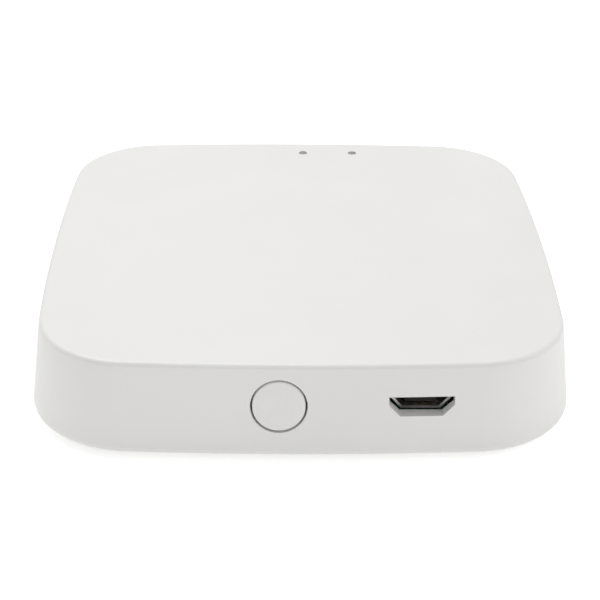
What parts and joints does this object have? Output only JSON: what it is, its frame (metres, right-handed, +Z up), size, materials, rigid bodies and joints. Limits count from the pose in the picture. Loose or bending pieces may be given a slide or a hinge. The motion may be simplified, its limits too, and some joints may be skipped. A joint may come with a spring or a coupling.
{
  "type": "smart home hub",
  "caption": "Low rounded-square smart home hub with a push button and a micro-USB power socket in its front wall and two status light holes in its roof.",
  "frame": {"origin": "middle of the square footprint, on the surface that the rubber feet stand on", "axes": "+Z up; -Y towards the wall with the button and the power socket; +X to the right seen from that side"},
  "size_m": [0.0668, 0.0668, 0.0124],
  "materials": {
    "casing_white": "fine matt moulded white",
    "button_white": "fine matt moulded white",
    "foot_rubber": "soft matt grey-black",
    "label_film": "blank satin silver-grey film",
    "screw_steel": "zinc-plated",
    "circuit_board": "green solder mask on glass-fibre laminate",
    "module_board": "dark blue solder mask",
    "tinned_steel": "satin tinned steel",
    "plated_steel": "bright nickel plate",
    "spring_steel": "polished stainless",
    "gilt_copper": "immersion gold on copper",
    "solder": "bright solder",
    "black_moulding": "black glass-filled moulding",
    "lamp_package": "white package with a yellow phosphor lens",
    "clear_acrylic": "clear acrylic",
    "black_foam": "closed-cell foam",
    "chip_epoxy": "black moulded epoxy",
    "fuse_green": "green polymer",
    "tantalum_yellow": "yellow moulded epoxy",
    "capacitor_ceramic": "tan fired ceramic",
    "resistor_ceramic": "black glaze on alumina",
    "ferrite": "dark grey ferrite"
  },
  "bodies": {
    "hub": {"upper_cover": "casing_white", "base_cover": "casing_white", "rubber_foot_front_left": "foot_rubber", "rubber_foot_front_right": "foot_rubber", "rubber_foot_rear_left": "foot_rubber", "rubber_foot_rear_right": "foot_rubber", "rating_label": "label_film", "case_screws": "screw_steel", "board_screws": "screw_steel", "main_board": "circuit_board", "wifi_module_board": "module_board", "mesh_module_board": "module_board", "wifi_shield_can": "tinned_steel", "mesh_shield_can": "tinned_steel", "wifi_antenna": "gilt_copper", "mesh_antenna": "gilt_copper", "test_pads": "gilt_copper", "wifi_solder_joints": "solder", "mesh_solder_joints": "solder", "usb_shell": "plated_steel", "usb_tongue": "black_moulding", "usb_contacts": "gilt_copper", "switch_base": "black_moulding", "switch_cover": "plated_steel", "switch_dome": "spring_steel", "switch_terminals": "plated_steel", "power_led": "lamp_package", "network_led": "lamp_package", "light_guide": "clear_acrylic", "light_blocker": "black_foam", "buck_regulator": "chip_epoxy", "flash_memory": "chip_epoxy", "esd_diode": "chip_epoxy", "resettable_fuse": "fuse_green", "input_capacitor": "tantalum_yellow", "output_capacitor": "tantalum_yellow", "crystal": "plated_steel", "ceramic_capacitors": "capacitor_ceramic", "chip_resistors": "resistor_ceramic", "power_inductor": "ferrite"},
    "button": {"button_cap": "button_white"},
    "plunger": {"switch_plunger": "black_moulding"}
  },
  "joints": [
    {"name": "button_press", "type": "slide", "parent": "hub", "child": "button", "axis": [0, 1, 0], "range_m": [0, 0.00035], "stiffness_N_per_m": 4000},
    {"name": "plunger_press", "type": "slide", "parent": "hub", "child": "plunger", "axis": [0, 1, 0], "range_m": [0, 0.00035], "deforming": ["switch_dome"]}
  ],
  "couplings": [
    {"joint": "plunger_press", "follows": "button_press", "ratio": 1}
  ]
}
